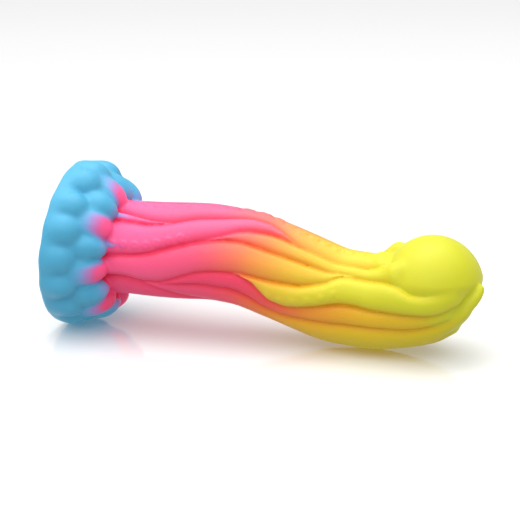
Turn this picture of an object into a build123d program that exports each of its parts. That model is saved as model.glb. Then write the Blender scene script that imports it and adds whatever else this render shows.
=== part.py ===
"""Octopus-shaped silicone article lying on its side: a lobed suction base, a curved shaft and a domed head.

Millimetres. +Z is up, +X runs from the base towards the head, and the origin is on the surface that the
object lies on, under the middle of its box. The tentacles follow the shaft's centre line. A place on the
shaft is given by its distance ahead of the base face and its angle round the shaft: 0 on top, 90 at the
front (-Y), 180 underneath and 270 at the back.
"""

import math
import os

from build123d import *

# ---- driving dimensions: base -------------------------------------------------------------------------
BASE_X = -100.1  # middle of the base face, ahead of the origin
BASE_Z = 40.43  # middle of the base face, above the surface
BASE_TILT = 5.5  # degrees that the base's axis dips towards the head
FLANGE_RADIUS = 37.5
FLANGE_THICKNESS = 8.0
FLANGE_EDGE = 3.0  # straight part of the flange's edge
COLLAR_HEIGHT = 16.0  # cone behind the lobes, up to the tentacles' roots
ROOT_BORE = 24.0
CUP_RADIUS = 28.0
CUP_DEPTH = 3.0
RIM_LOBES = 18
RIM_PHASE = 10.0  # degrees from the top to the first rim lobe
RIM_LOBE = (32.6, 9.0, 7.6, 8.4)  # ring radius, height, half-width, half-length
INNER_LOBES = 12
INNER_PHASE = 22.0
INNER_LOBE = (28.4, 17.5, 8.2, 9.6)
ROW_DIVIDE = (11.0, 21.0)  # height of the cone between the two rows, at the bore and at radius 42
GAP = 0.15  # clearance on each side of a bonded seam

# ---- driving dimensions: shaft and head ---------------------------------------------------------------
CORE_START = 8.8
CORE_END = 166.0
CORE_DEPTH = 6.0  # depth of the core below the outer skin
ROOT_START = 9.0
HEAD_X = 176.0
HEAD_Z = 34.0
HEAD_RADIUS = 24.0
BROWS = {"brow_front": (162.5, -13.5, 45.5), "brow_back": (157.0, 10.0, 49.5)}
BROW_RADIUS = 4.4
SUCKER_RADIUS = 2.4
SUCKER_PITCH = 5.6
SUCKER_RISE = 0.5
SECTION_PITCH = 7.5

# Centre line of the shaft: distance ahead of the base face, height above the surface.
CENTRE_LINE = [
    (0, 39.8), (20, 38.6), (45, 39.2), (70, 40.4), (90, 38.4), (110, 31.8),
    (130, 24.4), (150, 22.5), (165, 26.6), (176, 30.6), (200, 35.0),
]
# Outer skin: distance ahead of the base face, radius round the centre line.
SKIN = [
    (0, 23.4), (20, 23.0), (45, 22.8), (70, 22.8), (90, 22.6), (110, 22.4), (130, 22.4),
    (150, 22.6), (165, 24.0), (176, 25.0), (186, 23.0), (193, 19.0), (198, 14.0), (201, 11.0),
]
# Creases between the tentacles, as angles round the shaft at these distances. A tentacle fills the
# strip between two creases and runs out where they meet.
PLACES = (9, 30, 45, 60, 75, 90, 105, 120, 135, 150, 165, 180, 195, 201)
CREASES = {
    "crest_back": (-12, -12, -10, -9, -12, -16, -14, -12, -12, -12, -12, -12, -12, -12),
    "crest_front": (28, 28, 37, 39, 29, 17, 27, 32, 32, 30, 34, 36, 36, 36),
    "upper_low": (84, 85, 82, 71, 59, 38, 28, 32, 32, 30, 34, 36, 36, 36),
    "ribbon_low": (84, 85, 82, 71, 59, 54, 53, 49, 47, 43, 52, 60, 60, 60),
    "broad_low": (112, 112, 120, 112, 100, 94, 88, 73, 50, 46, 60, 78, 84, 90),
    "wave_low": (112, 112, 120, 112, 100, 96, 110, 104, 84, 86, 99, 109, 104, 100),
    "belly_low": (112, 112, 120, 118, 120, 122, 134, 138, 134, 126, 119, 122, 114, 102),
    "tip_low": (112, 112, 120, 146, 158, 162, 165, 166, 164, 163, 163, 158, 146, 130),
    "root_low": (158, 160, 168, 180, 190, 197, 201, 202, 200, 199, 199, 194, 182, 170),
    "keel_low": (204, 204, 206, 210, 212, 208, 201, 202, 200, 199, 199, 194, 182, 170),
    "low_back": (250, 250, 250, 247, 243, 240, 238, 240, 244, 248, 246, 238, 226, 214),
    "wave_back": (250, 250, 250, 247, 246, 252, 258, 264, 272, 280, 280, 270, 256, 244),
    "broad_back": (298, 298, 300, 298, 294, 292, 290, 290, 292, 292, 290, 286, 270, 260),
}
# Tentacles: crease above, crease below, first and last distance ahead of the base face.
TENTACLES = {
    "tentacle_crest": ("crest_back", "crest_front", 9, 160),
    "tentacle_upper": ("crest_front", "upper_low", 9, 103),
    "tentacle_ribbon": ("upper_low", "ribbon_low", 79, 166),
    "tentacle_broad": ("ribbon_low", "broad_low", 9, 133),
    "tentacle_wave": ("broad_low", "wave_low", 96, 190),
    "tentacle_belly": ("wave_low", "belly_low", 60, 193),
    "tentacle_tip": ("belly_low", "tip_low", 50, 200.5),
    "tentacle_root": ("tip_low", "root_low", 9, 195),
    "tentacle_keel": ("root_low", "keel_low", 9, 96),
    "tentacle_low_back": ("keel_low", "low_back", 9, 194),
    "tentacle_wave_back": ("low_back", "wave_back", 78, 192),
    "tentacle_broad_back": ("wave_back", "broad_back", 9, 152),
    "tentacle_upper_back": ("broad_back", "crest_back", 9, 160),
}
# Rows of suckers: first and last distance, and degrees from the middle of the tentacle.
SUCKERS = {"tentacle_crest": (26, 146, 0), "tentacle_upper": (22, 60, 10)}


def smooth(xs, ys, x):
    """Value at x of a smooth curve through the given stations."""
    last = len(xs) - 1
    x = min(max(x, xs[0]), xs[last])
    i = min(max(k for k in range(last) if xs[k] <= x), last - 1)

    def slope(k):
        before, after = max(k - 1, 0), min(k + 1, last)
        return (ys[after] - ys[before]) / (xs[after] - xs[before])

    h = xs[i + 1] - xs[i]
    t = (x - xs[i]) / h
    ends = (2 * t**3 - 3 * t**2 + 1) * ys[i] + (3 * t**2 - 2 * t**3) * ys[i + 1]
    return ends + (t**3 - 2 * t**2 + t) * h * slope(i) + (t**3 - t**2) * h * slope(i + 1)


def centre_height(x):
    return smooth([p[0] for p in CENTRE_LINE], [p[1] for p in CENTRE_LINE], x)


def skin_radius(x):
    return smooth([p[0] for p in SKIN], [p[1] for p in SKIN], x)


def crease_angle(name, x):
    angles = CREASES[name]
    return smooth(PLACES, angles, x)


def shaft_plane(x):
    """Plane square to the centre line: its x axis points up and its y axis to the front."""
    rise = centre_height(x + 0.5) - centre_height(x - 0.5)
    ahead = Vector(1, 0, rise).normalized()
    return Plane(origin=(BASE_X + x, 0, centre_height(x)), x_dir=(-ahead.Z, 0, ahead.X), z_dir=ahead)


def tentacle_section(name, x):
    """Where the round section sits in the shaft plane, and its radius."""
    above, below = TENTACLES[name][:2]
    first, second = crease_angle(above, x), crease_angle(below, x)
    if above == "broad_back":
        second += 360
    middle = math.radians((first + second) / 2)
    width = max(math.sin(math.radians((second - first) / 2)), 0.02)
    radius = skin_radius(x) * width / (1 + width)
    ring = skin_radius(x) - radius
    return (ring * math.cos(middle), ring * math.sin(middle)), max(radius - GAP, 0.5), middle


def tentacle(name, grow=0.0):
    """Round sections lofted along one strip."""
    start, end = TENTACLES[name][2:]
    count = round((end - start) / SECTION_PITCH)
    with BuildPart() as made:
        for k in range(count + 1):
            x = start + (end - start) * k / count
            spot, radius, _ = tentacle_section(name, x)
            with BuildSketch(shaft_plane(x)):
                with Locations(spot):
                    Circle(radius + grow)
        loft()
    return made


BASE_PLANE = Plane(
    origin=(BASE_X, 0, BASE_Z),
    x_dir=(math.sin(math.radians(BASE_TILT)), 0, math.cos(math.radians(BASE_TILT))),
    z_dir=(math.cos(math.radians(BASE_TILT)), 0, -math.sin(math.radians(BASE_TILT))),
)
BASE_AXIS = Axis(BASE_PLANE.origin, BASE_PLANE.z_dir)


def turned_plane(angle):
    """Base face's plane with its x axis outwards at that angle from the top, towards the front."""
    a = math.radians(angle)
    outward = BASE_PLANE.x_dir * math.cos(a) + Vector(0, -1, 0) * math.sin(a)
    return Plane(origin=BASE_PLANE.origin, x_dir=outward, z_dir=BASE_PLANE.z_dir)


def radial_plane(angle):
    """Plane through the base's axis: x outwards at that angle from the top, y along the axis."""
    turned = turned_plane(angle)
    return Plane(origin=turned.origin, x_dir=turned.x_dir, z_dir=turned.y_dir * -1)


def largest(piece):
    """Main solid of a piece, without the loose crumbs between the cuts."""
    with BuildPart() as made:
        add(piece.part.solids().sort_by(SortBy.VOLUME)[-1])
    return made


def keep(piece, name):
    """Labels a finished piece and writes its file."""
    piece.part.label = name
    export_step(piece.part, f"parts/{name}.step")
    solids = len(piece.part.solids())
    print(name, "volume", round(piece.part.volume), "solids", solids, "valid", piece.part.is_valid)


os.makedirs("parts", exist_ok=True)

# ---- base flange with its suction cup -----------------------------------------------------------------
CUP_SPHERE = (CUP_RADIUS**2 + CUP_DEPTH**2) / (2 * CUP_DEPTH)
with BuildPart() as suction_base:
    with BuildSketch(radial_plane(0)):
        with BuildLine():
            Polyline(
                (CUP_RADIUS, 0),
                (FLANGE_RADIUS - 0.8, 0),
                (FLANGE_RADIUS, 0.8),
                (FLANGE_RADIUS, FLANGE_EDGE),
                (FLANGE_RADIUS - 5, FLANGE_THICKNESS),
                (ROOT_BORE, COLLAR_HEIGHT),
                (ROOT_BORE, FLANGE_THICKNESS),
                (0, FLANGE_THICKNESS),
                (0, CUP_DEPTH),
            )
            RadiusArc((0, CUP_DEPTH), (CUP_RADIUS, 0), CUP_SPHERE)
        make_face()
    revolve(axis=BASE_AXIS)
keep(suction_base, "suction_base")

# Room that the lobes leave for the flange and for the tentacles' roots.
with BuildPart() as base_room:
    with BuildSketch(radial_plane(0)):
        Polygon(
            (0, -2),
            (FLANGE_RADIUS + GAP, -2),
            (FLANGE_RADIUS + GAP, FLANGE_EDGE + GAP),
            (FLANGE_RADIUS - 5 + GAP, FLANGE_THICKNESS + GAP),
            (ROOT_BORE + GAP, COLLAR_HEIGHT + GAP),
            (ROOT_BORE + GAP, 60),
            (0, 60),
            align=None,
        )
    revolve(axis=BASE_AXIS)

# Zone of the inner row; the rim row stays below its conical underside.
with BuildPart() as inner_zone:
    with BuildSketch(radial_plane(0)):
        Polygon((20, ROW_DIVIDE[0]), (42, ROW_DIVIDE[1]), (42, 40), (20, 40), align=None)
    revolve(axis=BASE_AXIS)
with BuildPart() as rim_zone:
    with BuildSketch(radial_plane(0)):
        Polygon((20, ROW_DIVIDE[0] - 2 * GAP), (42, ROW_DIVIDE[1] - 2 * GAP), (42, 0), (20, 0), align=None)
    revolve(axis=BASE_AXIS)


def lobe(angle, shape, half_pitch, zone):
    """Rounded lobe, trimmed to its share of the ring."""
    ring, height, half_width, half_length = shape
    across = radial_plane(angle)
    inset = GAP / math.sin(math.radians(half_pitch))
    side = 60 * math.tan(math.radians(half_pitch))
    with BuildPart() as made:
        with BuildSketch(across):
            with Locations((ring, height)):
                Ellipse(half_width, half_length)
            with Locations((ring - half_width, height)):
                Rectangle(2 * half_width, 4 * half_length, mode=Mode.SUBTRACT)
        revolve(axis=Axis(across.from_local_coords((ring, 0)), BASE_PLANE.z_dir))
        with BuildSketch(turned_plane(angle)):
            Polygon((inset, 0), (inset + 60, side), (inset + 60, -side), align=None)
        extrude(amount=60, mode=Mode.INTERSECT)
        add(zone.part, mode=Mode.INTERSECT)
        add(base_room.part, mode=Mode.SUBTRACT)
    return made


for number in range(RIM_LOBES):
    angle = RIM_PHASE + number * 360 / RIM_LOBES
    keep(lobe(angle, RIM_LOBE, 180 / RIM_LOBES, rim_zone), f"rim_lobe_{number + 1}")
for number in range(INNER_LOBES):
    angle = INNER_PHASE + number * 360 / INNER_LOBES
    keep(lobe(angle, INNER_LOBE, 180 / INNER_LOBES, inner_zone), f"inner_lobe_{number + 1}")

# ---- shaft core and domed head, both relieved round the tentacles -------------------------------------
with BuildPart() as whole_core:
    count = round((CORE_END - CORE_START) / SECTION_PITCH)
    for k in range(count + 1):
        x = CORE_START + (CORE_END - CORE_START) * k / count
        with BuildSketch(shaft_plane(x)):
            Circle(skin_radius(x) - CORE_DEPTH)
    loft()
    for name in TENTACLES:
        add(tentacle(name, grow=2 * GAP).part, mode=Mode.SUBTRACT)
    with Locations((BASE_X + HEAD_X, 0, HEAD_Z)):
        Sphere(HEAD_RADIUS + 2 * GAP, mode=Mode.SUBTRACT)

shaft_core = largest(whole_core)
keep(shaft_core, "shaft_core")

with BuildPart() as whole_head:
    with Locations((BASE_X + HEAD_X, 0, HEAD_Z)):
        Sphere(HEAD_RADIUS)
    for name in TENTACLES:
        if TENTACLES[name][3] > HEAD_X - HEAD_RADIUS:
            add(tentacle(name, grow=2 * GAP).part, mode=Mode.SUBTRACT)
head = largest(whole_head)
keep(head, "head")

for name, (x, y, z) in BROWS.items():
    with BuildPart() as brow:
        with Locations((BASE_X + x, y, z)):
            Sphere(BROW_RADIUS)
        with Locations((BASE_X + HEAD_X, 0, HEAD_Z)):
            Sphere(HEAD_RADIUS + 2 * GAP, mode=Mode.SUBTRACT)
        for other in TENTACLES:
            if TENTACLES[other][3] > HEAD_X - HEAD_RADIUS:
                add(tentacle(other, grow=2 * GAP).part, mode=Mode.SUBTRACT)
    keep(brow, name)

# ---- tentacles, two of them with a row of suckers -----------------------------------------------------
for name in TENTACLES:
    with BuildPart() as arm:
        add(tentacle(name).part)
        if name in SUCKERS:
            first, last, shift = SUCKERS[name]
            for k in range(int((last - first) / SUCKER_PITCH) + 1):
                x = first + k * SUCKER_PITCH
                spot, radius, middle = tentacle_section(name, x)
                turn = middle + math.radians(shift)
                out = radius + SUCKER_RISE - SUCKER_RADIUS
                side = (spot[0] + out * math.cos(turn), spot[1] + out * math.sin(turn))
                with Locations(shaft_plane(x).from_local_coords(side)):
                    Sphere(SUCKER_RADIUS)
    keep(arm, name)
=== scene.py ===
import math

import bpy
import numpy as np
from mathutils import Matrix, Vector


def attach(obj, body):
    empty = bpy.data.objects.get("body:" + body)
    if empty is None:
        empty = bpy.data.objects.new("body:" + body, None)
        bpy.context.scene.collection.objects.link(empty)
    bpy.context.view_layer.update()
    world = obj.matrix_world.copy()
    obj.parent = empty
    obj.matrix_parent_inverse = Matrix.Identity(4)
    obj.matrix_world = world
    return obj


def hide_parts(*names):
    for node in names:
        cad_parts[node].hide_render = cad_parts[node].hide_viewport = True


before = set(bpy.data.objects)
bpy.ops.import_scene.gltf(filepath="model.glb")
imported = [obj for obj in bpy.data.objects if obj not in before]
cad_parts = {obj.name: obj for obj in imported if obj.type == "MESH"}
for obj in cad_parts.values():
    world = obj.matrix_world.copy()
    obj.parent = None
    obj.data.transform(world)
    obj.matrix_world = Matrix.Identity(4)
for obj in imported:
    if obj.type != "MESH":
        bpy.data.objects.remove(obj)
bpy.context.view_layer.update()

# The casting is one closed skin. Its shape is worked out in millimetres as a distance field on a grid:
# a relief of tentacles wound round a centre line, a domed head and a lobed base, joined smoothly.
# x is the distance ahead of the base face, as in the CAD model; the front is -y and up is +z.
# An angle round the shaft or the base is 0 on top, 90 at the front, 180 underneath and 270 at the back.

# ---- driving dimensions: base -------------------------------------------------------------------------
BASE_X = -100.1  # middle of the base face, ahead of the frame's origin
BASE_Z = 40.43  # middle of the base face, above the floor
BASE_TILT = math.radians(5.5)
FLANGE_RADIUS = 38.7
FLANGE_TOP = 7.5  # height of the flange's sloping top at its shoulder
FLANGE_SHOULDER = 37.0  # ring radius of that shoulder
FLANGE_SLOPE = 0.72
FLANGE_STRETCH = 1.25  # turns the height above that slope into about the distance from it
COLLAR_HEIGHT = 22.0
CUP_RADIUS = 28.0
CUP_DEPTH = 3.0
RIM_COUNT = 16
RIM_PHASE = 21.25  # degrees from the top to the first rim lobe
INNER_COUNT = 16
INNER_PHASE = 10.0
BLUE_LOBE = 14  # the inner lobe, at the back of the top, that stays blue

# ---- driving dimensions: shaft ------------------------------------------------------------------------
# Centre line of the shaft: distance, height above the floor.
CENTRE_LINE = [
    (-10, 40.4), (0, 39.8), (20, 38.6), (45, 39.2), (70, 40.4), (90, 38.4), (110, 31.8), (130, 24.4),
    (150, 22.6), (165, 26.6), (176, 30.6), (200, 35.0), (210, 36.0),
]
# Radius of the crowns of the tentacles round the centre line.
SKIN = [
    (0, 23.4), (20, 23.0), (45, 22.8), (70, 22.9), (90, 22.7), (110, 22.3), (130, 22.2), (150, 22.4),
    (158, 23.1), (165, 23.6), (172, 23.4), (178, 22.2), (184, 20.2), (190, 16.6), (195, 12.0), (198, 8.0),
    (200, 3.0), (203, -4.0), (206, -12.0),
]
# Creases between the tentacles: distance, angle round the shaft. The stretches that two creases share
# come first.
CREST_FOOT = [
    (59, 39), (66, 34), (75, 28), (84, 22), (90, 17), (96, 16), (102, 22), (108, 30), (114, 33), (125, 34),
    (137, 33), (152, 30), (163, 34), (180, 40), (205, 40),
]
UPPER_ROOT = [(0, 84), (29, 85), (42, 83), (48, 80), (54, 75), (60, 71), (66, 67)]
WAVE_TOP = [
    (145, 48), (152, 49), (160, 55), (166, 64), (171, 76), (175, 81), (180, 81), (184, 77), (187, 72),
    (193, 64), (205, 58),
]
BROAD_ROOT = [(0, 112), (34, 112), (42, 119)]
BROAD_FOOT = [(51, 121), (62, 111), (70, 104), (80, 98)]
KEEL_END = [(110, 202), (135, 200), (165, 199), (185, 192), (205, 170)]

CREST_BACK = [(0, -13), (40, -11), (60, -9), (80, -14), (95, -17), (110, -14), (140, -12), (205, -12)]
CREST_FRONT = [(0, 26), (31, 27), (39, 33), (46, 38), (53, 40), *CREST_FOOT]
SLIVER_LOW = [(0, 40), (16, 41), (24, 39), (31, 39), (39, 41), (46, 43), (53, 42), *CREST_FOOT]
UPPER_LOW = [*UPPER_ROOT, (75, 59), (82, 51), (86, 44), (90, 38), (96, 31), (102, 29), (108, 31)]
RIBBON_LOW = [
    *UPPER_ROOT, (75, 60), (82, 55), (88, 54), (94, 54), (102, 53), (109, 51), (117, 49), (128, 48),
    (136, 46), *WAVE_TOP,
]
BROAD_LOW = [
    *BROAD_ROOT, *BROAD_FOOT, (90, 94), (97, 92), (107, 87), (117, 79), (125, 65), (131, 54), (136, 48),
    *WAVE_TOP,
]
WAVE_LOW = [
    *BROAD_ROOT, *BROAD_FOOT, (90, 95), (97, 97), (102, 106), (107, 113), (114, 113), (120, 105),
    (126, 95), (132, 86), (138, 82), (145, 82), (155, 88), (165, 97), (175, 105), (182, 108), (189, 105),
    (194, 97), (205, 84),
]
BELLY_LOW = [
    *BROAD_ROOT, (51, 121), (60, 120), (72, 120), (88, 121), (99, 126), (106, 134), (114, 134),
    (122, 125), (130, 117), (139, 113), (148, 111), (156, 114), (164, 120), (172, 123), (180, 124),
    (187, 123), (191, 116), (195, 104), (205, 92),
]
TIP_LOW = [
    *BROAD_ROOT, (47, 124), (52, 133), (58, 147), (64, 156), (75, 160), (90, 163), (110, 166),
    (135, 165), (160, 163), (178, 158), (190, 148), (198, 128), (205, 110),
]
ROOT_LOW = [(0, 158), (30, 160), (50, 173), (70, 188), (90, 197), *KEEL_END]
KEEL_LOW = [(0, 204), (40, 205), (60, 210), (75, 212), (90, 208), (104, 202), *KEEL_END]
LOW_BACK = [
    (0, 250), (45, 250), (70, 244), (95, 239), (120, 240), (145, 247), (165, 246), (185, 236), (205, 214),
]
WAVE_BACK = [
    (0, 250), (45, 250), (70, 245), (82, 248), (95, 254), (110, 260), (130, 270), (150, 280), (170, 280),
    (188, 264), (205, 244),
]
BROAD_BACK = [(0, 298), (45, 300), (70, 295), (95, 291), (120, 290), (150, 292), (172, 288), (205, 270)]
CREST_NEXT = [(x, angle + 360) for x, angle in CREST_BACK]  # the first crease again, a turn further on

WAVE_LIFT = [(96, -0.6), (106, 0.9), (130, 1.2), (150, 1.0), (165, 1.2), (178, 1.8), (190, 1.4)]
BELLY_LIFT = [(50, -1.2), (75, -0.6), (120, -1.2), (160, -0.8), (190, -0.6)]
# Strips between creases: name, crease above, crease below, height of the crown above the skin at some
# distances, the distance where it sinks into the head, how far its colours lag and how much painted shade
# it has. The painted shade darkens the lower and back strips towards the crease colours, and a negative
# value paints light on a strip instead.
STRIPS = [
    ("crest", CREST_BACK, CREST_FRONT, [(0, 0.0)], 163, 5, 0.0),
    ("sliver", CREST_FRONT, SLIVER_LOW, [(0, 0.2), (60, -0.6)], 163, 0, -0.2),
    ("upper", SLIVER_LOW, UPPER_LOW, [(0, 0.5), (60, 0.7), (95, 0.8), (110, 0.2)], 164, 16, 0.0),
    ("ribbon", UPPER_LOW, RIBBON_LOW, [(80, -1.0), (95, -0.4), (140, -0.5), (205, -0.6)], 170, 0, 0.1),
    ("broad", RIBBON_LOW, BROAD_LOW, [(0, 0.2), (60, 0.5), (100, 0.2), (135, -0.8)], 190, -5, 0.15),
    ("wave", BROAD_LOW, WAVE_LOW, WAVE_LIFT, 194, -14, -0.1),
    ("belly", WAVE_LOW, BELLY_LOW, BELLY_LIFT, 189, 18, 0.7),
    ("tip", BELLY_LOW, TIP_LOW, [(48, -0.6), (80, 0.2), (205, 0.3)], 197, 3, 0.4),
    ("root", TIP_LOW, ROOT_LOW, [(0, -0.8), (45, 0.0)], 189, 4, 0.5),
    ("keel", ROOT_LOW, KEEL_LOW, [(0, -0.4), (205, -0.8)], 190, 4, 0.4),
    ("low_back", KEEL_LOW, LOW_BACK, [(0, 0.0)], 190, 2, 0.4),
    ("wave_back", LOW_BACK, WAVE_BACK, [(70, -1.0), (95, 0.5), (205, 0.8)], 191, -8, 0.0),
    ("broad_back", WAVE_BACK, BROAD_BACK, [(0, 0.0), (205, -0.4)], 175, 3, 0.15),
    ("upper_back", BROAD_BACK, CREST_NEXT, [(0, 0.2), (205, 0.0)], 169, 8, 0.0),
]
CREASE_DEPTH = 3.7
CREASE_SHARE = 0.62  # deepest crease, as a share of a narrow strip's half-width
CROWN_POWERS = (2.4, 0.55)  # how flat a strip's crown is, and how steep its sides are
SINK_DEPTH = 9.0  # how far a strip has gone below the skin once it has sunk into the head
# Rows of suckers: strip, first and last distance, degrees from the strip's middle, radius, height.
SUCKER_ROWS = [
    ("crest", 20, 142, -2, 2.3, 0.55),
    ("upper", 19, 66, 9, 2.0, 0.58),
    ("wave", 106, 134, 4, 1.5, 0.34),
]
SUCKER_PITCH = 5.5
SUCKER_DIMPLE = 0.6  # depth of the dimple, as a share of the sucker's height

# ---- driving dimensions: head -------------------------------------------------------------------------
HEAD_MIDDLE = (175.2, 0.0, 31.3)
HEAD_RADII = (23.0, 23.4, 24.1)
HEAD_SCALE = 23.5  # mean radius, which turns the ellipsoid's size into a distance
HEAD_INSET = 0.13  # share that the dome draws in below the tentacles that wrap it
INSET_TOP = 7.0  # height above the head's middle where that begins
INSET_RUN = 10.0
BROWS = [((163.0, -13.4, 41.8), 3.4), ((158.0, 9.6, 44.6), 3.8)]
BROW_JOIN = 4.0
NECK_JOINS = (0.9, 5.9)  # blending radius at the sharp seam round the head, and at the soft neck on top
# End of the outermost tentacle, hooked round the dome: place and radius.
HOOK = [
    (172, -11.6, 12.0, 3.0), (180, -12.7, 17.2, 3.2), (187, -12.2, 22.0, 3.2), (192.5, -10.6, 27.0, 2.9),
    (195.8, -8.9, 31.0, 2.6), (197.2, -7.2, 33.8, 2.2), (197.5, -6.5, 35.0, 1.7),
]
HOOK_STEPS = 18
HOOK_JOIN = 2.0

# ---- grid ---------------------------------------------------------------------------------------------
VOXEL = 0.55
FAR = 6.0  # distances are kept only up to this
GRID_CORNER = np.array([-6.0, -42.5, -1.5])
GRID_SIZE = (213, 85, 83)
RELIEF_END = 206.0
STEP_X = 0.4  # steps of the relief tables, along the shaft and in degrees round it
STEP_A = 0.4


# ---- shape helpers ------------------------------------------------------------------------------------
def soft_line(points, x, spread=1.6):
    """Values at x of a line through the points, with its corners rounded."""
    xs = [p[0] for p in points]
    ys = [p[1] for p in points]
    total, weight = 0, 0
    for k in range(-3, 4):
        w = math.exp(-k * k / 4)
        total = total + w * np.interp(x + k * spread / 2, xs, ys)
        weight = weight + w
    return total / weight


def smoothstep(x, low, high):
    t = np.clip((x - low) / (high - low), 0, 1)
    return t * t * (3 - 2 * t)


def join(a, b, k):
    """Smooth union of two distance fields with blending radius k."""
    h = np.maximum(k - np.abs(a - b), 0) / k
    return np.minimum(a, b) - h * h * k / 4


def soft_max(a, b, k):
    """Smooth overlap of two distance fields."""
    return -join(-a, -b, k)


def blur(values, axis, sigma, wrap):
    """Gaussian blur along one axis of a grid."""
    reach = max(1, int(math.ceil(2.5 * sigma)))
    total, weight = 0, 0
    for k in range(-reach, reach + 1):
        w = math.exp(-0.5 * (k / sigma) ** 2)
        if wrap:
            moved = np.roll(values, k, axis)
        else:
            index = np.clip(np.arange(values.shape[axis]) + k, 0, values.shape[axis] - 1)
            moved = np.take(values, index, axis)
        total = total + w * moved
        weight = weight + w
    return total / weight


def soften(table, sigma_a, sigma_x):
    """Blurs a relief table round the shaft and along it."""
    return blur(blur(table, 1, sigma_a, True), 0, sigma_x, False)


# ---- relief of the shaft: tables over distance and angle ----------------------------------------------
relief_x = np.arange(0, RELIEF_END + STEP_X, STEP_X)
relief_a = np.arange(0, 360, STEP_A)
skin = soft_line(SKIN, relief_x, 3.0)[:, None]


def strip_tables():
    """Radius, colour lag, painted shade and unshaded share of the strips, and the middle angle of each strip.
    """
    radius = np.repeat(skin - 1.6, len(relief_a), 1)
    lag_table = np.zeros_like(radius)
    painted_shade_table = np.zeros_like(radius)
    unshaded_table = np.zeros_like(radius)
    middles = {}
    for name, above, below, lifts, sink, lag, painted_shade in STRIPS:
        top = soft_line(above, relief_x)[:, None]
        low = soft_line(below, relief_x)[:, None]
        width = low - top
        turn = (relief_a[None, :] - top) % 360
        inside = (turn < width) & (width > 0.8)
        across = np.clip(2 * turn / np.maximum(width, 0.8) - 1, -1, 1)
        half = np.maximum(skin, 4) * np.radians(width) / 2
        depth = np.minimum(CREASE_DEPTH, CREASE_SHARE * half)
        bulge = (1 - np.abs(across) ** CROWN_POWERS[0]) ** CROWN_POWERS[1]
        lift = soft_line(lifts, relief_x)[:, None] * np.minimum(half / 4, 1)
        lift = lift - SINK_DEPTH * smoothstep(relief_x, sink - 6, sink + 4)[:, None]
        radius = np.where(inside, skin + lift - depth * (1 - bulge), radius)
        ending = smoothstep(relief_x, sink - 24, sink - 4)[:, None]
        lag_table = np.where(inside, lag * (1 - ending), lag_table)
        # Painted shade over the whole strip, which fades out towards the head.
        painted_shade_table = np.where(inside, painted_shade * (1 - ending), painted_shade_table)
        # Painted shade mask: 1 on a strip's crown, falling to 0 in its creases where the crease colours paint
        # shade, and back to 1 where the strip sinks into the head.
        unshaded_table = np.where(inside, np.maximum(bulge, ending), unshaded_table)
        middles[name] = (top[:, 0] + low[:, 0]) / 2
    radius = soften(radius, 1.7, 1.0)
    lag_table = soften(lag_table, 5, 4)
    painted_shade_table = soften(painted_shade_table, 5, 4)
    unshaded_table = soften(unshaded_table, 3, 2)
    return radius, lag_table, painted_shade_table, unshaded_table, middles


def add_suckers(radius, middles):
    """Rows of shallow discs with a dimple in each."""
    for name, first, last, shift, size, rise in SUCKER_ROWS:
        for k in range(int((last - first) / SUCKER_PITCH) + 1):
            x = first + k * SUCKER_PITCH
            angle = np.interp(x, relief_x, middles[name]) + shift
            across = np.radians((relief_a[None, :] - angle + 180) % 360 - 180) * skin
            away = np.hypot(relief_x[:, None] - x, across)
            disc = 1 - smoothstep(away, size * 0.72, size * 1.1)
            dimple = 1 - smoothstep(away, size * 0.15, size * 0.6)
            radius = radius + rise * (disc - SUCKER_DIMPLE * dimple)
    return radius


smooth_radius, lag_table, painted_shade_table, unshaded_table, strip_middles = strip_tables()
radius_table = add_suckers(smooth_radius, strip_middles)


def look_up(table, x, angle):
    """Bilinear sample of a relief table."""
    i = np.clip(x / STEP_X, 0, table.shape[0] - 1.001)
    j = (np.degrees(angle) % 360) / STEP_A
    i0 = i.astype(np.int32)
    j0 = j.astype(np.int32) % table.shape[1]
    j1 = (j0 + 1) % table.shape[1]
    fi = i - i0
    fj = j - np.floor(j)
    low = table[i0, j0] * (1 - fj) + table[i0, j1] * fj
    high = table[i0 + 1, j0] * (1 - fj) + table[i0 + 1, j1] * fj
    return low * (1 - fi) + high * fi


# ---- coordinates --------------------------------------------------------------------------------------
line_x = np.arange(-8, 208, 0.25)
line_z = soft_line(CENTRE_LINE, line_x, 5.0)
line_slope = np.gradient(line_z, line_x)


def to_shaft(x, z):
    """Distance along the centre line and height above it, for points in the plane of the line."""
    shape = x.shape
    x, z = x.ravel(), z.ravel()
    found, rise = np.empty_like(x), np.empty_like(x)
    chunk = 4000
    for start in range(0, len(x), chunk):
        part = slice(start, start + chunk)
        near = ((x[part, None] - line_x) ** 2 + (z[part, None] - line_z) ** 2).argmin(1)
        slope = line_slope[near]
        size = np.sqrt(1 + slope**2)
        dx = x[part] - line_x[near]
        dz = z[part] - line_z[near]
        found[part] = line_x[near] + (dx + dz * slope) / size**2
        rise[part] = (dz - dx * slope) / size
    return found.reshape(shape), rise.reshape(shape)


def to_base(x, y, z):
    """Distance ahead of the base face, height above the base's axis and distance from that axis."""
    ahead = x * math.cos(BASE_TILT) - (z - BASE_Z) * math.sin(BASE_TILT)
    up = x * math.sin(BASE_TILT) + (z - BASE_Z) * math.cos(BASE_TILT)
    return ahead, up, np.hypot(up, y)


def head_size(x, y, z):
    """Size of the head's ellipsoid through a point, which is 1 on its surface, and its inset there."""
    squares = [((p - m) / r) ** 2 for p, m, r in zip((x, y, z), HEAD_MIDDLE, HEAD_RADII)]
    inset = HEAD_INSET * smoothstep(HEAD_MIDDLE[2] + INSET_TOP - z, 0, INSET_RUN)
    return np.sqrt(squares[0] + squares[1] + squares[2]) + inset


# ---- distance field of the whole casting --------------------------------------------------------------
counts = [int(n / VOXEL) + 1 for n in GRID_SIZE]
axes = [GRID_CORNER[k] + VOXEL * np.arange(counts[k]) for k in range(3)]
field = np.full(counts, FAR, dtype=np.float32)


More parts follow.
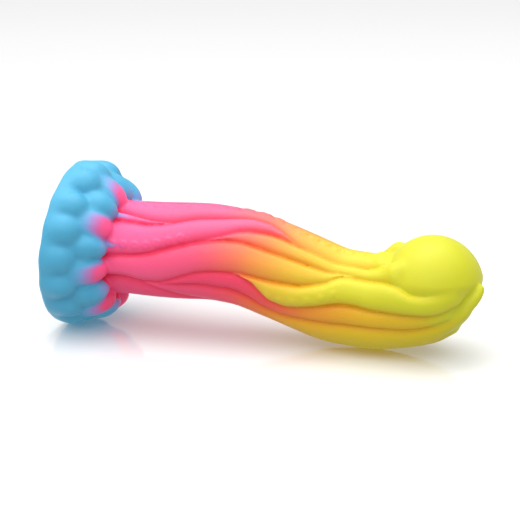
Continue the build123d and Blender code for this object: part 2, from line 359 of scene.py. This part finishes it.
def block(*ranges):
    """Slices of the grid around a box, and its points."""
    cut, points = [], []
    for k, (low, high) in enumerate(ranges):
        first, last = np.searchsorted(axes[k], [low, high])
        cut.append(slice(max(first - 1, 0), min(last + 1, counts[k])))
        shape = [1, 1, 1]
        shape[k] = -1
        points.append(axes[k][cut[k]].reshape(shape))
    return tuple(cut), *points


def put(cut, values, k):
    field[cut] = join(field[cut], values, k)


def add_shaft():
    """The tentacles' relief, wound round the centre line."""
    root_x = 6
    cut, x, y, z = block((3, 207), (-29, 29), (-1.5, 66))
    flat_x, flat_z = np.broadcast_arrays(x[:, 0, :], z[:, 0, :])
    along, rise = to_shaft(flat_x, flat_z)
    along, rise = along[:, None, :], rise[:, None, :]
    shaft = np.hypot(rise, y) - look_up(radius_table, along, np.arctan2(-y, rise))
    taper = 1 + 0.35 * smoothstep(along, 186, 200)
    shaft = np.where(x < root_x, np.maximum(shaft, root_x - x), shaft) / taper
    field[cut] = np.clip(shaft, -FAR, FAR)


def add_head():
    """The dome with its brows, blended softly into the neck on top."""
    cut, x, y, z = block((140, 207), (-29, 29), (-1.5, 66))
    dome = (head_size(x, y, z) - 1) * HEAD_SCALE
    for (bx, by, bz), radius in BROWS:
        dome = join(dome, np.sqrt((x - bx) ** 2 + (y - by) ** 2 + (z - bz) ** 2) - radius, BROW_JOIN)
    neck = smoothstep(z, 26, 44) * (1 - smoothstep(x, 168, 190))
    put(cut, dome, NECK_JOINS[0] + (NECK_JOINS[1] - NECK_JOINS[0]) * neck)


def add_hook():
    """The tip that wraps the dome, as a chain of short tapered pieces."""
    cut, x, y, z = block((140, 207), (-29, 29), (-1.5, 66))
    steps = np.linspace(0, len(HOOK) - 1, HOOK_STEPS)
    columns = [[(k, knot[n]) for k, knot in enumerate(HOOK)] for n in range(4)]
    chain = np.stack([soft_line(column, steps, 0.5) for column in columns], 1)
    hook = np.full(field[cut].shape, FAR)
    for first, second in zip(chain, chain[1:]):
        line = second[:3] - first[:3]
        px, py, pz = x - first[0], y - first[1], z - first[2]
        t = np.clip((px * line[0] + py * line[1] + pz * line[2]) / (line @ line), 0, 1)
        gap = np.sqrt((px - t * line[0]) ** 2 + (py - t * line[1]) ** 2 + (pz - t * line[2]) ** 2)
        hook = np.minimum(hook, gap - first[3] - (second[3] - first[3]) * t)
    put(cut, hook, HOOK_JOIN)


def flange_field(ahead, ring):
    """Flange, collar and the shallow suction cup."""
    flange = soft_max(ring - FLANGE_RADIUS, -ahead, 2.4)
    slope = ahead - FLANGE_TOP - (FLANGE_SHOULDER - ring) * FLANGE_SLOPE
    flange = soft_max(flange, slope / FLANGE_STRETCH, 3.0)
    cup_sphere = (CUP_RADIUS**2 + CUP_DEPTH**2) / (2 * CUP_DEPTH)
    cup = np.sqrt(ring**2 + (ahead - CUP_DEPTH + cup_sphere) ** 2) - cup_sphere
    flange = soft_max(flange, -cup, 0.8)
    return soft_max(flange, ahead - COLLAR_HEIGHT, 2.0)


def lobe_shapes():
    """Angle, ring radius, height, depth, half-width, half-length, lean and narrowing of each lobe."""
    random = np.random.RandomState(7)
    shapes = []
    for k in range(RIM_COUNT):
        turn = RIM_PHASE + k * 360 / RIM_COUNT
        vary = random.uniform(-1, 1, 4)
        ring_at = 32.7 + 0.5 * math.cos(math.radians(turn))
        size = (7.2 + vary[2] * 0.4, 7.3 + vary[3] * 0.4, 8.6)
        shapes.append((turn + vary[0] * 2, ring_at, 8.6 + vary[1], *size, 0.1, 0.0))
    for k in range(INNER_COUNT):
        turn = INNER_PHASE + k * 360 / INNER_COUNT
        vary = random.uniform(-1, 1, 4)
        pink = k % 2 == 0
        size = (6.6, 6.5 + vary[2] * 0.5 + 0.9 * pink, 9.6 + vary[3] * 0.8 + 0.8 * pink)
        shapes.append((turn + vary[0] * 2, 27.6, 19.4 + vary[1] * 1.2 - 0.6 * pink, *size, 0.5, 0.18))
    return shapes


def add_base():
    """The flange with its two rings of lobes."""
    cut, x, y, z = block((-6, 40), (-42.5, 42.5), (-1.5, 81.5))
    ahead, up, ring = to_base(x, y, z)
    lobes = np.full(field[cut].shape, FAR)
    for turn, ring_at, height, deep, wide, long_, lean, narrowing in lobe_shapes():
        t = math.radians(turn)
        out = up * math.cos(t) - y * math.sin(t) - ring_at
        side = -up * math.sin(t) - y * math.cos(t)
        along = ahead - height
        leant_out = out * math.cos(lean) + along * math.sin(lean)
        leant_along = along * math.cos(lean) - out * math.sin(lean)
        breadth = wide * (1.08 - narrowing * np.clip(leant_along / long_ + 0.2, 0, 1.2))
        size = np.sqrt((leant_out / deep) ** 2 + (side / breadth) ** 2 + (leant_along / long_) ** 2)
        lobes = join(lobes, (size - 1) * min(deep, wide) * 0.85, 1.5)
    lobes = np.maximum(lobes, 0.8 - ahead)
    base = join(flange_field(ahead, ring), lobes, 2.4)
    put(cut, np.clip(base, -FAR, FAR), 1.0)


add_shaft()
add_head()
add_hook()
add_base()


# ---- mesh of the field's zero level -------------------------------------------------------------------
def surface(values):
    """Points and quads of the zero level, with one point in each crossed cell."""
    inside = values < 0
    cells = [n - 1 for n in values.shape]
    total = np.zeros((math.prod(cells), 3), dtype=np.float32)
    hits = np.zeros(math.prod(cells), dtype=np.int32)
    quads = []
    for axis in range(3):
        low_side, high_side = [slice(None)] * 3, [slice(None)] * 3
        low_side[axis] = slice(0, -1)
        high_side[axis] = slice(1, None)
        a, b = values[tuple(low_side)], values[tuple(high_side)]
        starts_inside = inside[tuple(low_side)]
        crossed = np.nonzero(starts_inside != inside[tuple(high_side)])
        point = np.stack(crossed, 1).astype(np.float32)
        point[:, axis] += a[crossed] / (a[crossed] - b[crossed])
        first, second = [n for n in range(3) if n != axis]
        corners = []
        for step_1, step_2 in ((0, 0), (1, 0), (1, 1), (0, 1)):
            cell = list(crossed)
            cell[first] = cell[first] - step_1
            cell[second] = cell[second] - step_2
            ok = np.all([(cell[n] >= 0) & (cell[n] < cells[n]) for n in range(3)], axis=0)
            index = np.ravel_multi_index([np.clip(cell[n], 0, cells[n] - 1) for n in range(3)], cells)
            hits += np.bincount(index[ok], minlength=len(hits)).astype(np.int32)
            for n in range(3):
                sums = np.bincount(index[ok], weights=point[ok, n], minlength=len(hits))
                total[:, n] += sums.astype(np.float32)
            corners.append(index)
        quad = np.stack(corners, 1)
        flip = starts_inside[crossed] != (axis == 1)
        quad[flip] = quad[flip][:, ::-1]
        quads.append(quad)
    used = np.nonzero(hits)[0]
    number = np.full(len(hits), -1, dtype=np.int64)
    number[used] = np.arange(len(used))
    return total[used] / hits[used][:, None], number[np.concatenate(quads)]


def relax(points, quads, rounds):
    """Evens out the small steps of the grid."""
    a = quads.ravel()
    b = np.roll(quads, -1, 1).ravel()
    count = np.bincount(a, minlength=len(points)) + np.bincount(b, minlength=len(points))
    for _ in range(rounds):
        mean = np.zeros_like(points)
        for n in range(3):
            mean[:, n] = np.bincount(a, points[b, n], len(points)) + np.bincount(b, points[a, n], len(points))
        points = points + 0.5 * (mean / count[:, None] - points)
    return points


# ---- colour coordinates -------------------------------------------------------------------------------
def blue_share(ahead, ring, turn):
    """How much of the base's blue a point has. Every other inner lobe turns pink towards the shaft."""
    lobe = ((turn - INNER_PHASE) / (360 / INNER_COUNT)) % INNER_COUNT
    pink = smoothstep(0.5 + 0.5 * np.cos(math.pi * lobe), 0.25, 0.9)
    pink = pink * smoothstep(np.abs(lobe - BLUE_LOBE), 0.7, 1.2)
    reach = ahead + 0.35 * (30 - ring)
    blue = np.clip((31.5 - 12.0 * pink - reach) / 16 + 0.5, 0, 1)
    return np.where(ring < 23.6, blue * (1 - smoothstep(ahead, 10, 18)), blue)


def colour_values(points):
    """The values that the material reads at each point of the skin."""
    x, y, z = points.T
    along, rise = to_shaft(x.copy(), z.copy())
    angle = np.arctan2(-y, rise)
    on_head = 1 - smoothstep(head_size(x, y, z), 1.015, 1.06)
    # Share of the crown colour against the painted crease shade. It is lowered on strips that have painted
    # shade, and it is 1 on the head.
    unshaded = look_up(unshaded_table, along, angle) * (1 - 0.85 * look_up(painted_shade_table, along, angle))
    ahead, up, ring = to_base(x, y, z)
    turn = np.degrees(np.arctan2(-y, up)) % 360
    return {
        "pour": along - look_up(lag_table, along, angle) * (1 - on_head),
        "blue": blue_share(ahead, ring, turn),
        "unshaded": unshaded * (1 - on_head) + on_head,
    }


def skin_mesh():
    points, quads = surface(field)
    points = relax((GRID_CORNER + points * VOXEL).astype(np.float64), quads, 2)
    mesh = bpy.data.meshes.new("octopus_skin")
    mesh.vertices.add(len(points))
    metres = (points + (BASE_X, 0, 0)) / 1000
    mesh.vertices.foreach_set("co", metres.astype(np.float32).ravel())
    mesh.loops.add(quads.size)
    mesh.loops.foreach_set("vertex_index", quads.astype(np.int32).ravel())
    mesh.polygons.add(len(quads))
    mesh.polygons.foreach_set("loop_start", np.arange(0, quads.size, 4, dtype=np.int32))
    mesh.polygons.foreach_set("use_smooth", np.ones(len(quads), bool))
    mesh.update(calc_edges=True)
    mesh.validate()
    for name, values in colour_values(points).items():
        attribute = mesh.attributes.new(name, "FLOAT", "POINT")
        attribute.data.foreach_set("value", values.astype(np.float32))
    return mesh


# ---- material -----------------------------------------------------------------------------------------
# Colours along the pour, from the base to the head: the strips' own colours on the crowns, and darker,
# redder colours that paint shade into the creases.
POUR_LENGTH = 200.0
CROWN_COLOURS = [
    (0.00, (0.96, 0.12, 0.34)), (0.36, (0.96, 0.10, 0.24)), (0.44, (0.94, 0.14, 0.14)),
    (0.50, (0.84, 0.30, 0.06)), (0.58, (0.76, 0.50, 0.035)), (0.72, (0.63, 0.60, 0.02)),
    (1.00, (0.56, 0.57, 0.018)),
]
# Painted shade: deeper, redder colours that stand in for the shade and bounced light in the creases.
CREASE_SHADE_COLOURS = [
    (0.00, (0.84, 0.022, 0.10)), (0.36, (0.86, 0.020, 0.07)), (0.46, (0.86, 0.06, 0.03)),
    (0.54, (0.82, 0.22, 0.01)), (0.66, (0.78, 0.38, 0.004)), (1.00, (0.66, 0.44, 0.003)),
]
# Colours of the base, from the pink of the petals' tips through violet to blue.
BASE_COLOURS = [
    (0.06, (0.90, 0.08, 0.26)), (0.26, (0.64, 0.14, 0.40)), (0.50, (0.36, 0.25, 0.58)),
    (0.76, (0.10, 0.40, 0.68)), (1.00, (0.068, 0.38, 0.58)),
]


class Tree:
    """Short ways to add nodes to a material's tree."""

    def __init__(self, material):
        material.use_nodes = True
        self.nodes = material.node_tree.nodes
        self.links = material.node_tree.links
        self.shader = self.nodes["Principled BSDF"]
        self.place = self.nodes.new("ShaderNodeTexCoord").outputs["Object"]

    def feed(self, socket, value):
        """Links a socket to another node's output, or sets its value."""
        if isinstance(value, (int, float, tuple)):
            socket.default_value = value
        else:
            self.links.new(value, socket)

    def attribute(self, name):
        node = self.nodes.new("ShaderNodeAttribute")
        node.attribute_name = name
        return node.outputs["Fac"]

    def maths(self, kind, *values):
        node = self.nodes.new("ShaderNodeMath")
        node.operation = kind
        for socket, value in zip(node.inputs, values):
            self.feed(socket, value)
        return node.outputs[0]

    def noise(self, scale, detail=3.0):
        node = self.nodes.new("ShaderNodeTexNoise")
        node.inputs["Scale"].default_value = scale
        node.inputs["Detail"].default_value = detail
        self.links.new(self.place, node.inputs["Vector"])
        return node.outputs["Fac"]

    def ramp(self, value, stops):
        node = self.nodes.new("ShaderNodeValToRGB")
        node.color_ramp.interpolation = "B_SPLINE"
        elements = node.color_ramp.elements
        while len(elements) < len(stops):
            elements.new(0.5)
        for element, (at, colour) in zip(elements, stops):
            element.position = at
            element.color = (*colour, 1)
        self.links.new(value, node.inputs["Fac"])
        return node.outputs["Color"]

    def mix(self, factor, a, b):
        node = self.nodes.new("ShaderNodeMix")
        node.data_type = "RGBA"
        self.links.new(factor, node.inputs["Factor"])
        sockets = [s for s in node.inputs if s.type == "RGBA"]
        self.links.new(a, sockets[0])
        self.links.new(b, sockets[1])
        return [s for s in node.outputs if s.type == "RGBA"][0]


def silicone():
    """Satin silicone poured in three colours that swirl a little into each other."""
    material = bpy.data.materials.new("poured_silicone")
    tree = Tree(material)
    shader = tree.shader

    swirl = tree.maths("MULTIPLY_ADD", tree.noise(38), 9.0, -4.5)
    along = tree.maths("DIVIDE", tree.maths("ADD", tree.attribute("pour"), swirl), POUR_LENGTH)
    crowns = tree.ramp(along, CROWN_COLOURS)
    painted_creases = tree.ramp(along, CREASE_SHADE_COLOURS)
    # Painted shade: the crease colours darken the creases.
    body = tree.mix(tree.attribute("unshaded"), painted_creases, crowns)

    # The blue's edge is uneven only where the two colours meet.
    blue = tree.attribute("blue")
    edge = tree.maths("MULTIPLY", tree.maths("MULTIPLY", blue, tree.maths("SUBTRACT", 1.0, blue)), 4.0)
    pool = tree.maths("MULTIPLY", tree.maths("MULTIPLY_ADD", tree.noise(55, 2.0), 0.5, -0.25), edge)
    blue_mix = tree.maths("ADD", blue, pool)
    in_base = tree.nodes.new("ShaderNodeMapRange")
    in_base.inputs["From Min"].default_value = 0.02
    in_base.inputs["From Max"].default_value = 0.30
    tree.links.new(blue_mix, in_base.inputs["Value"])
    colour = tree.mix(in_base.outputs["Result"], body, tree.ramp(blue_mix, BASE_COLOURS))
    tree.feed(shader.inputs["Base Color"], colour)

    tree.feed(shader.inputs["Roughness"], tree.maths("MULTIPLY_ADD", tree.noise(240), 0.12, 0.36))
    tree.feed(shader.inputs["Specular IOR Level"], 0.42)
    tree.feed(shader.inputs["IOR"], 1.42)
    tree.feed(shader.inputs["Subsurface Weight"], 0.22)
    tree.feed(shader.inputs["Subsurface Radius"], (1.0, 0.45, 0.3))
    tree.feed(shader.inputs["Subsurface Scale"], 0.004)

    bump = tree.nodes.new("ShaderNodeBump")
    bump.inputs["Strength"].default_value = 0.12
    bump.inputs["Distance"].default_value = 0.0003
    tree.feed(bump.inputs["Height"], tree.maths("ADD", tree.noise(1400, 2.0), tree.noise(420, 2.0)))
    tree.feed(shader.inputs["Normal"], bump.outputs["Normal"])
    return material


def add_object(name, data):
    thing = bpy.data.objects.new(name, data)
    bpy.context.collection.objects.link(thing)
    return thing


skin_piece = add_object("octopus_skin", skin_mesh())
skin_piece.data.materials.append(silicone())
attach(skin_piece, "root")
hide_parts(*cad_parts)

# ---- floor, light and camera --------------------------------------------------------------------------
FLOOR_HALF = 6.0  # metres
VIEW_AZIMUTH = math.radians(16.5)
VIEW_ELEVATION = math.radians(16)
VIEW_DISTANCE = 0.700
VIEW_TARGET = Vector(((94.25 + BASE_X) / 1000, 0, 0.03785))


def add_floor():
    """Pale polished floor. It gives the object reflections but no coloured or diffuse light from below."""
    corners = [(-1, -1), (1, -1), (1, 1), (-1, 1)]
    mesh = bpy.data.meshes.new("floor")
    mesh.from_pydata([(FLOOR_HALF * x, FLOOR_HALF * y, 0) for x, y in corners], [], [(0, 1, 2, 3)])
    material = bpy.data.materials.new("pale_floor")
    material.use_nodes = True
    shader = material.node_tree.nodes["Principled BSDF"]
    shader.inputs["Base Color"].default_value = (0.88, 0.88, 0.88, 1)
    shader.inputs["Roughness"].default_value = 0.05
    shader.inputs["IOR"].default_value = 2.1
    mesh.materials.append(material)
    floor = add_object("floor", mesh)
    floor.visible_diffuse = False


def add_lights():
    """White surroundings, a wide soft box above and a broad overhead light."""
    world = bpy.data.worlds.new("studio")
    world.use_nodes = True
    world.node_tree.nodes["Background"].inputs["Color"].default_value = (1, 1, 1, 1)
    world.node_tree.nodes["Background"].inputs["Strength"].default_value = 0.62
    bpy.context.scene.world = world

    box = bpy.data.lights.new("key", "AREA")
    box.shape = "RECTANGLE"
    box.size = 0.8
    box.size_y = 0.5
    box.energy = 2.4
    key = add_object("key", box)
    key.location = (-0.1, 0.05, 0.8)
    key.rotation_euler = (Vector((0, 0, 0.03)) - key.location).to_track_quat("-Z", "Y").to_euler()

    sun = bpy.data.lights.new("overhead", "SUN")
    sun.energy = 2.7
    sun.angle = math.radians(110)
    add_object("overhead", sun).rotation_euler = (math.radians(14), math.radians(-8), 0)


def add_camera():
    lens = bpy.data.cameras.new("camera")
    lens.lens = 104.75
    lens.sensor_width = 36
    view = add_object("camera", lens)
    level = math.cos(VIEW_ELEVATION)
    back = Vector((math.sin(VIEW_AZIMUTH) * level, -math.cos(VIEW_AZIMUTH) * level, math.sin(VIEW_ELEVATION)))
    view.location = VIEW_TARGET + back * VIEW_DISTANCE
    view.rotation_euler = (-back).to_track_quat("-Z", "Y").to_euler()
    bpy.context.scene.camera = view


add_floor()
add_lights()
add_camera()
bpy.context.scene.view_settings.view_transform = "Standard"
